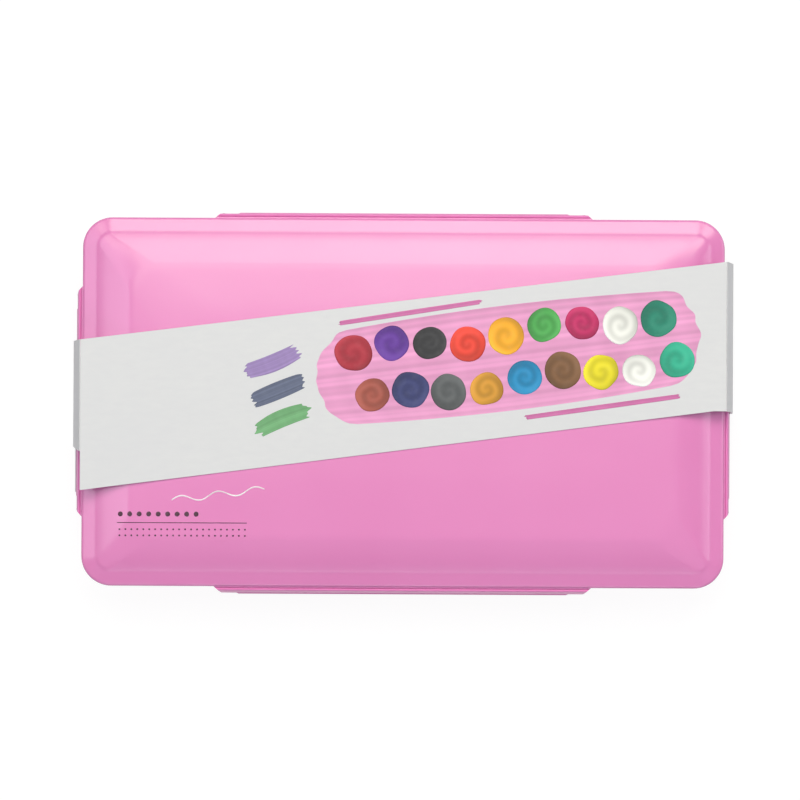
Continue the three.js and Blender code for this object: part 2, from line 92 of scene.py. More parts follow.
# Roundings, as the reach of each along the two sides of its corner
HAIR, CRISP, FINE, SMALL, SOFT, FULL = 0.0001, 0.0002, 0.0003, 0.0004, 0.0005, 0.0006
EDGE_ROUND = 0.0013
STEP_ROUND = 0.001
SHOULDER_ROUND = 0.0024
CROWN_ROUND = 0.016

FILLET_STEPS = 5
FEW_STEPS = 3
FILLET_SHARE = 0.49
CORNER_STEPS = 14
CUP_STEPS = 8


# Meshes

def rounded_ring(half, radius, steps):
    """Points round a rounded rectangle, anticlockwise: corner centre + radius * (cos a, sin a)."""
    quarter = np.linspace(0, math.pi / 2, steps + 1)
    angle = np.concatenate([quarter + k * math.pi / 2 for k in range(4)])
    side_x = np.repeat([1, -1, -1, 1], steps + 1)
    side_y = np.repeat([1, 1, -1, -1], steps + 1)
    x = side_x * (half[0] - radius) + radius * np.cos(angle)
    y = side_y * (half[1] - radius) + radius * np.sin(angle)
    return np.stack([x, y], axis=1)


def softened(corners, steps=FILLET_STEPS):
    """A path whose corners are rounded: each corner (a, b, r) becomes the curve
    (1-s)^2 A + 2s(1-s) P + s^2 B, with A and B at r from P along the two sides."""
    points = np.array([[a, b] for a, b, _ in corners], float)
    s = np.linspace(0, 1, steps + 1)[:, None]
    path = [points[0]]
    for i in range(1, len(points) - 1):
        here, radius = points[i], corners[i][2]
        if radius == 0:
            path.append(here)
            continue
        ends = []
        for side in (points[i - 1] - here, points[i + 1] - here):
            length = np.linalg.norm(side)
            ends.append(here + side / length * min(radius, FILLET_SHARE * length))
        path.extend((1 - s) ** 2 * ends[0] + 2 * s * (1 - s) * here + s ** 2 * ends[1])
    path.append(points[-1])
    return np.array(path)


def grid_faces(rows, columns, wrap=True, start=0):
    """Quads between neighbouring rows and columns of a grid; the columns join round if wrap."""
    row = np.arange(rows - 1)[:, None]
    column = np.arange(columns if wrap else columns - 1)[None, :]
    beside = (column + 1) % columns
    corners = [row * columns + column, row * columns + beside,
               (row + 1) * columns + beside, (row + 1) * columns + column]
    return (np.stack(corners, axis=-1).reshape(-1, 4) + start).tolist()


def raised(flat, height):
    """Flat points at a height."""
    return np.column_stack([flat, np.full(len(flat), height)])


def capped(rings):
    """A strip through rings of points, with a flat cap over the first ring and over the last."""
    columns = len(rings[0])
    points = np.concatenate(rings)
    faces = grid_faces(len(rings), columns)
    faces.append(list(range(columns))[::-1])
    faces.append(list(range(len(points) - columns, len(points))))
    return points, faces


def corner_rule(radius, least, pillow_inset=math.inf, pillow_share=0.0):
    """Corner radius at an inset: radius - inset, but no less than least, and past pillow_inset a share
    of the way further in is added, as on a pillow."""
    def rule(inset):
        return np.maximum(radius - inset, least) + np.maximum(inset - pillow_inset, 0) * pillow_share
    return rule


def lofted(path, half, corner, steps, centre=(0, 0)):
    """A path of (inset, height) pairs carried round a rounded rectangle and capped."""
    rings = []
    for inset, height in path:
        ring_half = np.array(half) - inset
        ring_radius = min(corner(inset), ring_half[0], ring_half[1])
        ring = rounded_ring(ring_half, ring_radius, steps) + np.array(centre)
        rings.append(raised(ring, height))
    return capped(rings)


def joined(parts):
    """Several (points, faces) pairs as one."""
    points, faces, start = [], [], 0
    for some_points, some_faces in parts:
        points.append(some_points)
        faces.extend([[index + start for index in face] for face in some_faces])
        start += len(some_points)
    return np.concatenate(points), faces


def placed(name, data):
    """A new object, linked to the scene."""
    made = bpy.data.objects.new(name, data)
    bpy.context.scene.collection.objects.link(made)
    return made


def piece(name, shape, body, surface, nodes=(), merge=0.0, sharp=math.radians(35), thickness=0.0):
    """A mesh of (points, faces), riding on a body, smooth but for edges sharper than an angle."""
    points, faces = shape
    mesh = bpy.data.meshes.new(name)
    mesh.from_pydata(points.tolist(), [], faces)
    if merge:
        welded = bmesh.new()
        welded.from_mesh(mesh)
        bmesh.ops.remove_doubles(welded, verts=welded.verts, dist=merge)
        bmesh.ops.dissolve_degenerate(welded, edges=welded.edges, dist=merge)
        bmesh.ops.recalc_face_normals(welded, faces=welded.faces)
        welded.to_mesh(mesh)
        welded.free()
    mesh.polygons.foreach_set("use_smooth", np.ones(len(mesh.polygons), bool))
    mesh.set_sharp_from_angle(angle=sharp)
    mesh.materials.append(surface)
    made = placed(name, mesh)
    if thickness:
        layer = made.modifiers.new("thickness", "SOLIDIFY")
        layer.thickness = thickness
        layer.offset = -1
    weighted = made.modifiers.new("even_shading", "WEIGHTED_NORMAL")
    weighted.keep_sharp = True
    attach(made, body)
    for node in nodes:
        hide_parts(node)
    return made


# Materials

class Nodes:
    """A material's node tree, with short calls to add nodes and join them."""

    def __init__(self, name):
        self.material = bpy.data.materials.new(name)
        self.material.use_nodes = True
        self.tree = self.material.node_tree
        self.shader = self.tree.nodes["Principled BSDF"]
        self.place = self.tree.nodes.new("ShaderNodeTexCoord").outputs["Object"]

    def add(self, kind, settings=(), inputs=()):
        node = self.tree.nodes.new(f"ShaderNode{kind}")
        for key, value in dict(settings).items():
            setattr(node, key, value)
        for key, value in dict(inputs).items():
            if isinstance(value, bpy.types.NodeSocket):
                self.tree.links.new(value, node.inputs[key])
            else:
                node.inputs[key].default_value = value
        return node

    def noise(self, scale, detail, stretch=(1, 1, 1), rough=0.5):
        mapping = self.add("Mapping", inputs={"Vector": self.place, "Scale": stretch})
        node = self.add("TexNoise", inputs={
            "Vector": mapping.outputs["Vector"], "Scale": scale, "Detail": detail, "Roughness": rough})
        return node.outputs["Fac"]

    def spread(self, value, low, high, to_low=0.0, to_high=1.0):
        node = self.add("MapRange", inputs={
            "Value": value, "From Min": low, "From Max": high, "To Min": to_low, "To Max": to_high})
        return node.outputs["Result"]

    def blend(self, share, first, second):
        node = self.add("Mix", {"data_type": "RGBA"}, {0: share, 6: first, 7: second})
        return node.outputs[2]

    def bump(self, height, strength, distance, normal=None):
        inputs = {"Height": height, "Strength": strength, "Distance": distance}
        if normal is not None:
            inputs["Normal"] = normal
        return self.add("Bump", inputs=inputs).outputs["Normal"]

    def join(self, output, name):
        self.tree.links.new(output, self.shader.inputs[name])

    def set(self, **values):
        """Constants of the shader, with _ for each space in a name."""
        for name, value in values.items():
            self.shader.inputs[name.replace("_", " ")].default_value = value


def linear(red, green, blue):
    """An sRGB colour, 0 to 255, as the linear colour that a shader takes."""
    share = np.array([red, green, blue]) / 255
    value = np.where(share <= 0.04045, share / 12.92, ((share + 0.055) / 1.055) ** 2.4)
    return (*value.tolist(), 1.0)


def moulded_plastic(name, light, dark, rough, gloss=0.76):
    """Satin moulded plastic: soft cloudy colour, a fine skin, and faint long scuffs."""
    made = Nodes(name)
    cloud = made.noise(14.0, 2.0)
    made.join(made.blend(made.spread(cloud, 0.3, 0.7), dark, light), "Base Color")
    scuff = made.noise(60.0, 4.0, (0.6, 1.6, 1.0), 0.65)
    made.join(made.spread(scuff, 0.5, 0.8, rough, rough + 0.035), "Roughness")
    skin = made.noise(1500.0, 2.0)
    wave = made.noise(22.0, 1.0)
    normal = made.bump(skin, 0.08, 0.00004)
    made.join(made.bump(wave, 0.08, 0.0006, normal), "Normal")
    made.set(Specular_IOR_Level=gloss, Subsurface_Weight=0.06,
             Subsurface_Radius=(0.004, 0.002, 0.003), Subsurface_Scale=0.5)
    return made.material


def printed_card(name, light, dark):
    """Coated white card: long fibres that barely show, a slight mottle and a dry sheen."""
    made = Nodes(name)
    fibre = made.noise(420.0, 5.0, (0.35, 1.0, 1.0), 0.6)
    cloud = made.noise(30.0, 3.0)
    shade = made.add("Math", {"operation": "MULTIPLY"}, {0: fibre, 1: cloud})
    made.join(made.blend(made.spread(shade.outputs[0], 0.12, 0.4), dark, light), "Base Color")
    made.join(made.spread(cloud, 0.3, 0.7, 0.55, 0.7), "Roughness")
    made.join(made.bump(fibre, 0.1, 0.00005), "Normal")
    made.set(Specular_IOR_Level=0.3)
    return made.material


def clear_plastic(name):
    """Clear thermoformed plastic, a little cloudy where it was drawn thin."""
    made = Nodes(name)
    haze = made.noise(90.0, 3.0)
    made.join(made.blend(haze, linear(232, 238, 240), linear(246, 249, 250)), "Base Color")
    made.join(made.spread(haze, 0.3, 0.7, 0.06, 0.16), "Roughness")
    made.set(Transmission_Weight=0.92, IOR=1.46)
    return made.material


def gouache(name, colour):
    """Creamy gouache: streaks of a lighter and a darker tone of one colour, half dry."""
    made = Nodes(name)
    tone = np.array(colour[:3])
    light = (*np.clip(tone * 1.16 + 0.015, 0, 1).tolist(), 1.0)
    dark = (*(tone * 0.8).tolist(), 1.0)
    streak = made.noise(70.0, 4.0, (1.0, 2.6, 1.0), 0.55)
    made.join(made.blend(made.spread(streak, 0.35, 0.68), dark, light), "Base Color")
    wet = made.noise(160.0, 2.0)
    made.join(made.spread(wet, 0.35, 0.65, 0.28, 0.5), "Roughness")
    made.join(made.bump(streak, 0.25, 0.0004), "Normal")
    return made.material


def ink_print(name):
    """Printed ink: its colour is the mesh's own attribute, a little paler in the grain of the card."""
    made = Nodes(name)
    ink = made.add("Attribute", {"attribute_name": "ink"}).outputs["Color"]
    grain = made.noise(260.0, 4.0)
    pale = made.blend(0.02, ink, linear(255, 255, 255))
    made.join(made.blend(made.spread(grain, 0.45, 0.7), ink, pale), "Base Color")
    made.join(made.spread(grain, 0.3, 0.7, 0.45, 0.6), "Roughness")
    made.join(made.bump(grain, 0.08, 0.00005), "Normal")
    made.set(Specular_IOR_Level=0.35)
    return made.material


LID_PINKS = (linear(231, 131, 195), linear(228, 126, 191))
LID_PLASTIC = moulded_plastic("lid_pink", *LID_PINKS, 0.2)
LATCH_PLASTIC = moulded_plastic("latch_pink", *LID_PINKS, 0.42, gloss=0.45)
TRAY_PLASTIC = moulded_plastic("tray_pink", linear(230, 141, 194), linear(226, 134, 189), 0.34)
PALETTE_PLASTIC = moulded_plastic("palette_white", linear(244, 244, 242), linear(238, 238, 237), 0.3)
CARD = printed_card("white_card", linear(226, 226, 230), linear(222, 222, 227))
CUP_PLASTIC = clear_plastic("clear_cup")
INK = ink_print("printed_ink")


# Lid

def lid_outside():
    """The lid's outer section, as (inset, height, rounding): rim, upright edge, sloping border, small
    step, a shoulder that eases off, and the crown in the middle."""
    edge = LID_RIM + SKIRT_RISE
    border = edge + BORDER_RISE
    step = border + STEP_RISE
    step_end = BORDER_WIDTH + STEP_RUN
    shares = np.array([*SHOULDER_SHARES, 1.0])
    insets = step_end + SHOULDER_RUN * np.arange(1, len(shares) + 1) / len(shares)
    heights = step + SHOULDER_RISE * shares
    crown = insets[-1] + CROWN_RUN
    return [
        (0, LID_RIM, 0),
        (0, edge, EDGE_ROUND),
        (BORDER_WIDTH, border, STEP_ROUND),
        (step_end, step, STEP_ROUND),
        *[(inset, height, SHOULDER_ROUND) for inset, height in zip(insets, heights)],
        (crown, heights[-1] + CROWN_RISE, CROWN_ROUND),
        (crown + FLAT_RUN, heights[-1] + CROWN_RISE, 0),
    ]


LID_CORNER = corner_rule(LID_RADIUS, LEAST_RADIUS, PILLOW_INSET, PILLOW_SHARE)
BOX_CORNER = corner_rule(LID_RADIUS, LEAST_RADIUS)


def lid_height(x, y):
    """Height of the lid's top at points: the rings' signed distances to a point change sign at the
    ring through it, and the section gives the height at that ring's inset."""
    insets = np.linspace(0, LID_HALF[1] * 0.6, 240)[:, None]
    radius = LID_CORNER(insets)
    past_x = np.abs(x) - (LID_HALF[0] - insets - radius)
    past_y = np.abs(y) - (LID_HALF[1] - insets - radius)
    corner = np.hypot(np.maximum(past_x, 0), np.maximum(past_y, 0))
    distance = corner + np.minimum(np.maximum(past_x, past_y), 0) - radius
    last = np.clip((distance < 0).sum(axis=0) - 1, 0, len(insets) - 2)
    column = np.arange(len(x))
    here, ahead = distance[last, column], distance[last + 1, column]
    inset = insets[last, 0] + insets[1, 0] * np.clip(here / (here - ahead), 0, 1)
    path = softened(lid_outside())
    return np.interp(inset, path[:, 0], path[:, 1])


def make_lid():
    """The outer section, and inside it the same section a wall lower, with the locating lip."""
    outer = lid_outside()
    edge = LID_RIM + SKIRT_RISE
    ceiling = edge - LID_WALL
    inside = [(inset, height - LID_WALL, rounding) for inset, height, rounding in outer[:4:-1]]
    lip = [
        (LOCATOR_INNER, edge + BORDER_RISE, SOFT),
        (LOCATOR_INNER, LID_LOW[2], FINE),
        (LOCATOR_OUTER, LID_LOW[2], FINE),
        (LOCATOR_OUTER, ceiling + BORDER_RISE, SMALL),
        (LID_WALL, ceiling, FULL),
        (LID_WALL, LID_RIM, CRISP),
        (0, LID_RIM, CRISP),
    ]
    path = softened(inside + lip + outer[1:])
    shape = lofted(path, LID_HALF, LID_CORNER, CORNER_STEPS)
    piece("lid", shape, "lid", LID_PLASTIC, ["lid_shell"])


# Latches

LONG_LATCH = 0.1834
SHORT_LATCH = 0.112
# Sides of the box: turn about +Z, half width of the lid there, and length of the latch
SIDES = {
    "right": (0.0, LID_HALF[0], SHORT_LATCH),
    "back": (math.pi / 2, LID_HALF[1], LONG_LATCH),
    "left": (math.pi, LID_HALF[0], SHORT_LATCH),
    "front": (-math.pi / 2, LID_HALF[1], LONG_LATCH),
}
LATCH_WALL = 0.0013
LATCH_SPLAY = 0.0008
LATCH_DROP = 0.019
LATCH_CORNER = 0.006
CHAMFER = 0.0036
END_ROUND = 0.0009
HINGE_REACH = 0.0014
HINGE_Z = LID_RIM + 0.0037
HINGE_GAP = 0.00002
WEB_HALF = 0.0003
LEDGE_WALL = 0.0018
LEDGE_FLAT = 0.0004
LIP_REACH = 0.0005
LIP_HEIGHT = 0.0016
LIP_MARGIN = 0.0092
LIP_END_RUN = 0.0012
LIP_END_STATIONS = (-0.012, 0.0, 0.008)
HOOK_TIP = -0.0009
HOOK_TIP_HEIGHT = 0.0005
HOOK_TIP_DROP = 0.0147
HOOK_TOP_DROP = 0.0104
HOOK_FOOT_DROP = 0.0172
HOOK_ROUND = 0.0008
LATCH_REACH = HINGE_REACH + LATCH_WALL / 2
FOOT_REACH = LATCH_REACH + LATCH_SPLAY
LIP_EDGE = FOOT_REACH + LIP_REACH


def along_side(section, side, length, end_shape=None, stations=(-1.0, 1.0)):
    """A section (outward, height) carried along a side; each station may reshape it."""
    turn, half, _ = SIDES[side]
    rings = []
    for station in stations:
        out, height = section[:, 0].copy(), section[:, 1].copy()
        run = np.full(len(out), station * length / 2)
        if end_shape is not None:
            out, run, height = end_shape(out, run, height, station)
        x, y = half + out, run
        rings.append(np.column_stack([
            x * math.cos(turn) - y * math.sin(turn),
            x * math.sin(turn) + y * math.cos(turn),
            height,
        ]))
    return capped(rings)


def drawn_in(out):
    """How far an end is drawn in at a distance out from the lid: slope * out +
    round * (1 - sqrt(1 - t^4)), where t is the share of the way to the latch's foot."""
    t = np.clip(out / FOOT_REACH, 0, 1)
    slope = CHAMFER / LIP_EDGE
    return slope * np.clip(out, 0, LIP_EDGE) + END_ROUND * (1 - np.sqrt(1 - t ** 4))


def make_ledges():
    """The ledge on each side of the lid that carries a latch, thinned to the hinge at its edge."""
    reach = HINGE_REACH - LATCH_WALL / 2 - HINGE_GAP
    foot = HINGE_Z - LEDGE_WALL / 2
    top = HINGE_Z + LEDGE_WALL / 2
    section = softened([
        (-LID_WALL / 2, foot, 0),
        (LEDGE_FLAT, foot, FINE),
        (reach, HINGE_Z - WEB_HALF, HAIR),
        (reach, HINGE_Z + WEB_HALF, HAIR),
        (LEDGE_FLAT, top, SMALL),
        (-LID_WALL / 2, top, 0),
    ], FEW_STEPS)

    def ends(out, run, height, station):
        return out, run - math.copysign(1, station) * drawn_in(out), height

    shape = joined([along_side(section, side, SIDES[side][2], ends) for side in SIDES])
    piece("latch_ledges", shape, "lid", LID_PLASTIC, merge=1e-7)


def latch_section():
    """A latch's section: half round at the hinge, an undercut hook inside, and an outer face that
    slopes out to a finger lip: out = reach + splay * s for s from 0 to 1."""
    inner = HINGE_REACH - LATCH_WALL / 2
    foot = HINGE_Z - LATCH_DROP
    lip_top = foot + LIP_HEIGHT + LIP_REACH
    tip = HINGE_Z - HOOK_TIP_DROP
    face = [(LATCH_REACH + LATCH_SPLAY * s, HINGE_Z + (lip_top - HINGE_Z) * s, 0)
            for s in np.linspace(1, 0, 9)[1:]]
    angle = np.linspace(0, math.pi, 13)
    head = np.column_stack([
        HINGE_REACH + np.cos(angle) * LATCH_WALL / 2,
        HINGE_Z + np.sin(angle) * LATCH_WALL / 2,
    ])
    body = softened([
        (inner, HINGE_Z, 0),
        (inner, HINGE_Z - HOOK_TOP_DROP, HOOK_ROUND),
        (HOOK_TIP, tip, HAIR),
        (HOOK_TIP, tip - HOOK_TIP_HEIGHT, CRISP),
        (inner, HINGE_Z - HOOK_FOOT_DROP, FULL),
        (inner + LATCH_SPLAY, foot, SMALL),
        (LIP_EDGE, foot, SOFT),
        (LIP_EDGE, foot + LIP_HEIGHT, SOFT),
        (FOOT_REACH, lip_top, SOFT),
        *face,
    ], FILLET_STEPS - 1)
    return np.concatenate([head, body[1:-1]])


def make_latch(side):
    """A latch's section along its side, with rounded lower corners and ends that are drawn in."""
    length = SIDES[side][2]
    half = length / 2
    foot = HINGE_Z - LATCH_DROP
    quarter = np.linspace(0, math.pi / 2, 15)
    corner = (half - LATCH_CORNER * (1 - np.sin(quarter))) / half
    lip_end = 1 - LIP_MARGIN / half + np.array(LIP_END_STATIONS)
    ends = np.unique(np.concatenate([corner, lip_end]))
    stations = np.concatenate([-ends[::-1], ends])

    def trimmed(out, run, height, station):
        from_end = half * (1 - abs(station))
        inside = np.clip(LATCH_CORNER - from_end, 0, LATCH_CORNER)
        lowest = foot + LATCH_CORNER - math.sqrt(LATCH_CORNER ** 2 - inside ** 2)
        lip_share = np.clip((LIP_MARGIN - from_end) / LIP_END_RUN + 1, 0, 1)
        out = np.minimum(out, LIP_EDGE - LIP_REACH * lip_share)
        chamfer = drawn_in(out) * abs(station) ** 8
        return out, run - math.copysign(1, station) * chamfer, np.maximum(height, lowest)

    shape = along_side(latch_section(), side, length, trimmed, stations)
    piece(f"snap_latch_{side}", shape, f"latch_{side}", LATCH_PLASTIC,
          [f"latch_{side}"], merge=2e-6)


# Tray

RIM_WIDTH = 0.0078
RIM_ROUND = 0.0009
BEAD_HEIGHT = 0.0027
BEAD_FLARE = 0.0011
BEAD_ROUND = 0.0008
SHELF_WIDTH = 0.004
SHELF_WALL = 0.0018
GROOVE_DEPTH = 0.0023
WALL_INSET = 0.003
DRAFT = 0.0045
TRAY_WALL = 0.002
FLOOR_WALL = 0.0018
OUTER_RUN, OUTER_ROUND = 0.0035, 0.0034
INNER_RUN, INNER_ROUND = 0.004, 0.0032
RIDGE_DROP = 0.0079
RIDGE_TIP_HEIGHT = 0.0008
UNDERCUT = 0.0012
UNDERCUT_ANGLE = math.radians(63)
RIDGE_TOP_RISE = 0.0024
RIDGE_MARGIN = 0.006


def tray_section():
    """The tray's section, from under its floor, up its side, over the rim and down inside."""
    foot, rim = TRAY_LOW[2], TRAY_HIGH[2]
    foot_inset = WALL_INSET + DRAFT
    floor_inset = foot_inset + TRAY_WALL
    rim_inner = TRAY_INSET + RIM_WIDTH
    groove = rim - GROOVE_DEPTH
    bead_foot = rim - BEAD_HEIGHT
    return softened([
        (foot_inset + OUTER_RUN, foot, 0),
        (foot_inset, foot, OUTER_ROUND),
        (WALL_INSET, bead_foot - BEAD_FLARE, BEAD_ROUND),
        (TRAY_INSET, bead_foot, SMALL),
        (TRAY_INSET, rim, RIM_ROUND),
        (rim_inner, rim, FULL),
        (rim_inner, groove, FINE),
        (rim_inner + SHELF_WIDTH, groove, FINE),
        (rim_inner + SHELF_WIDTH, groove - SHELF_WALL, FINE),
        (rim_inner - SHELF_WALL, groove - SHELF_WALL, FINE),
        (rim_inner - SHELF_WALL, rim - SHELF_WALL, FINE),
        (WALL_INSET + TRAY_WALL, rim - SHELF_WALL, FULL),
        (floor_inset, foot + FLOOR_WALL, INNER_ROUND),
        (floor_inset + INNER_RUN, foot + FLOOR_WALL, 0),
    ])


def ridge_section():
    """The section, as (outward, height), of the ridge that a latch's hook snaps under."""
    top = TRAY_HIGH[2] - RIDGE_DROP
    lower = top - RIDGE_TIP_HEIGHT
    under = lower - UNDERCUT * math.tan(UNDERCUT_ANGLE)
    root = -(WALL_INSET + TRAY_WALL)
    return softened([
        (root, under, 0),
        (-RIDGE_INSET - UNDERCUT, under, FINE),
        (-RIDGE_INSET, lower, CRISP),
        (-RIDGE_INSET, top, SMALL),
        (root, top + RIDGE_TOP_RISE, 0),
    ], FEW_STEPS)


def make_tray():
    parts = [lofted(tray_section(), LID_HALF, BOX_CORNER, CORNER_STEPS)]
    for side, (_, _, length) in SIDES.items():
        parts.append(along_side(ridge_section(), side, length - 2 * RIDGE_MARGIN))
    piece("tray", joined(parts), "base", TRAY_PLASTIC, ["base_shell"])


# Rack

COLUMNS, ROWS = 6, 3
CELL_STEPS = 24
PLATE = 0.0016
FLANGE_HALF = 0.0425 / 2
FLANGE_REACH = 0.0021
OPENING_PLAY = 0.00045
OPENING_HALF = FLANGE_HALF - FLANGE_REACH + OPENING_PLAY
OPENING_RADIUS = 0.0044
OPENING_LIP = ((-0.0007, 0.0), (-0.00025, 0.0001), (-0.00005, 0.0003), (0.0, 0.0006))
OPENING_ROUND = 0.0002
CUP_NODES = [f"cup_{k + 1:02d}" for k in range(COLUMNS * ROWS)]
CUP_CENTRES = np.array([(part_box(node)[0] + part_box(node)[1])[:2] for node in CUP_NODES]) / 2
TROUGH_HALF = np.array([0.1375, 0.010])
TROUGH_RADIUS = 0.009
TROUGH_DEPTH = 0.0205
TROUGH_WALL = 0.0012
TROUGH_DRAFT = 0.0012
TROUGH_LIP = ((-0.0008, 0.0), (-0.0003, 0.0001), (-0.00005, 0.0004), (0.0, 0.0008))
TROUGH_FOOT = ((-0.00006, 0.0022), (0.0004, 0.0009), (0.0011, 0.0002), (0.0022, 0.0))
TROUGH_Y = RACK_LOW[1] + 0.0136
TROUGH_CELL_HALF = 0.0115
PLATE_FOOT, PLATE_TOP = RACK_HIGH[2] - PLATE, RACK_HIGH[2]


def steps_through(places):
    """Even steps from each place to the next, and the last place."""
    spans = [np.linspace(a, b, CELL_STEPS + 1)[:-1] for a, b in zip(places[:-1], places[1:])]
    return np.append(np.concatenate(spans), places[-1])


def plate_corners(points):
    """Points near the plate's corners, drawn onto its corner arcs: centre + radius * direction."""
    half = np.array(RACK_HIGH[:2])
    centre = np.sign(points) * (half - LEAST_RADIUS)
    away = points - centre
    outside = (np.abs(points) > half - LEAST_RADIUS).all(axis=1)
    length = np.linalg.norm(away, axis=1, keepdims=True)
    moved = centre + away / np.maximum(length, 1e-9) * np.minimum(length, LEAST_RADIUS)
    return np.where(outside[:, None], moved, points)


def cell_line(edges_x, edges_y):
    """Points round a cell of the plate, anticlockwise from its front right corner."""
    x, y = steps_through(edges_x), steps_through(edges_y)
    return plate_corners(np.concatenate([
        np.column_stack([np.full(len(y) - 1, x[-1]), y[:-1]]),
        np.column_stack([x[:0:-1], np.full(len(x) - 1, y[-1])]),
        np.column_stack([np.full(len(y) - 1, x[0]), y[:0:-1]]),
        np.column_stack([x[:-1], np.full(len(x) - 1, y[0])]),
    ]))


def opening_rings(line, centre, half, radius, profile):
    """A ring for each (inset, height) of a profile: for each point of a line round an opening, the
    nearest point of the opening's edge, moved in by the inset."""
    core = np.array(half) - radius
    nearest = centre + np.clip(line - centre, -core, core)
    away = line - nearest
    away /= np.linalg.norm(away, axis=1, keepdims=True)
    return [(nearest + away * (radius - inset), height) for inset, height in profile]


def stacked(rings):
    """A strip through rings of (points, height), each joined round."""
    points = [raised(ring, height) for ring, height in rings]
    return np.concatenate(points), grid_faces(len(rings), len(rings[0][0]))


def cup_cell(centre, edges_x, edges_y):
    """A cup's cell: from its edge down through the opening, and back to its edge underneath."""
    line = cell_line(edges_x, edges_y)
    profile = [(inset, PLATE_TOP - drop) for inset, drop in OPENING_LIP]
    profile += [(0.0, PLATE_FOOT + OPENING_ROUND), (-OPENING_ROUND, PLATE_FOOT)]
    rings = opening_rings(line, centre, (OPENING_HALF, OPENING_HALF), OPENING_RADIUS, profile)
    return stacked([(line, PLATE_TOP), *rings, (line, PLATE_FOOT)])


def trough_cell(edges_x, edges_y):
    """The brush trough's cell: its inside and its outside, each closed at the bottom."""
    line = cell_line(edges_x, edges_y)
    floor = PLATE_TOP - TROUGH_DEPTH
    inside = [(inset, PLATE_TOP - drop) for inset, drop in TROUGH_LIP]
    inside += [(TROUGH_DRAFT + inset, floor + rise) for inset, rise in TROUGH_FOOT]
    outside = [
        (-TROUGH_WALL, PLATE_FOOT),
        (TROUGH_DRAFT - TROUGH_WALL, floor + 0.001),
        (TROUGH_DRAFT, floor - TROUGH_WALL),
    ]
    parts = []
    for height, profile in ((PLATE_TOP, inside), (PLATE_FOOT, outside)):
        rings = opening_rings(line, np.array([0.0, TROUGH_Y]), TROUGH_HALF, TROUGH_RADIUS, profile)
        points, faces = stacked([(line, height), *rings])
        faces.append(list(range(len(points) - len(line), len(points))))
        parts.append((points, faces))
    return parts


def make_rack():
    """A cell of plate round each cup, the brush trough's cell, and the plate's outer edge."""
    column_x = CUP_CENTRES[:COLUMNS, 0]
    row_y = CUP_CENTRES[::COLUMNS, 1][::-1]
    edges_x = [RACK_LOW[0], *((column_x[1:] + column_x[:-1]) / 2), RACK_HIGH[0]]
    edges_y = [TROUGH_Y + TROUGH_CELL_HALF, *((row_y[1:] + row_y[:-1]) / 2), RACK_HIGH[1]]
    parts = []
    for index, centre in enumerate(CUP_CENTRES):
        row, column = divmod(index, COLUMNS)
        front = ROWS - 1 - row
        parts.append(cup_cell(centre, edges_x[column:column + 2], edges_y[front:front + 2]))
    parts += trough_cell(edges_x, [RACK_LOW[1], edges_y[0]])
    outline = cell_line(edges_x, [RACK_LOW[1], *edges_y])
    parts.append(stacked([(outline, PLATE_FOOT), (outline, PLATE_TOP)]))
    piece("rack", joined(parts), "base", TRAY_PLASTIC, ["cup_rack"], merge=2e-6)


# Cups and paint

FLANGE_RADIUS = 0.005
FLANGE_LEAST = 0.0035
FLANGE_WALL = 0.001
FLANGE_ROUND = 0.00025
CUP_WALL = 0.001
CUP_DRAFT = 0.0031
CUP_DEPTH = 0.0215
FOOT_ROUND = 0.0012
CUP_FLOOR_RUN = 0.004
CUP_OUTER_ROUND, CUP_INNER_ROUND = 0.0016, 0.0018
PAINTS = [
    ("crimson", (168, 42, 60)), ("burnt_sienna", (160, 80, 68)), ("violet", (96, 50, 150)),
    ("navy", (48, 54, 104)), ("black", (38, 38, 42)), ("dark_grey", (84, 87, 90)),
    ("vermilion", (228, 66, 50)), ("yellow_ochre", (206, 146, 46)), ("golden_yellow", (244, 172, 38)),
    ("sky_blue", (26, 134, 186)), ("green", (72, 160, 78)), ("raw_umber", (118, 82, 52)),
    ("magenta", (186, 34, 96)), ("lemon_yellow", (228, 214, 32)), ("white_one", (234, 234, 230)),
    ("white_two", (240, 240, 237)), ("viridian", (26, 126, 104)), ("emerald", (44, 172, 140)),
]
PAINT_DROP = 0.0018
PAINT_FOOT_GAP = 0.0001
PAINT_WALL_GAP = 0.00012
PAINT_RADIUS = 0.0026
PAINT_STEPS = CUP_STEPS * 2
DOME = 0.0004
SWIRL = 0.00026
SWIRL_FADE = 0.003
RIPPLE = 0.00008
RIPPLE_WAVES = 900
PEAK_HEIGHT, PEAK_WIDTH = 0.0007, 0.0016
EDGE_DROP, EDGE_SHARE = 0.0006, 0.1
OFF_CENTRE = 0.0025


def make_cup(node, centre):
    """From under its foot, up its drafted side, round the flange and down inside."""
    low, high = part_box(node)
    foot, top = low[2], high[2]
    bottom = FLANGE_REACH + CUP_DRAFT
    section = [
        (bottom + FOOT_ROUND + CUP_FLOOR_RUN, foot, 0),
        (bottom, foot, CUP_OUTER_ROUND),
        (FLANGE_REACH, top - FLANGE_WALL, CRISP),
        (0, top - FLANGE_WALL, FLANGE_ROUND),
        (0, top, SMALL),
        (FLANGE_REACH + CUP_WALL, top, SOFT),
        (bottom + CUP_WALL, foot + CUP_WALL, CUP_INNER_ROUND),
        (bottom + CUP_WALL + FOOT_ROUND + CUP_FLOOR_RUN, foot + CUP_WALL, 0),
    ]
    path = softened(section, FILLET_STEPS - 1)
    corner = corner_rule(FLANGE_RADIUS, FLANGE_LEAST)
    shape = lofted(path, (FLANGE_HALF, FLANGE_HALF), corner, CUP_STEPS, centre)
    piece(f"clear_{node}", shape, node, CUP_PLASTIC, [node])


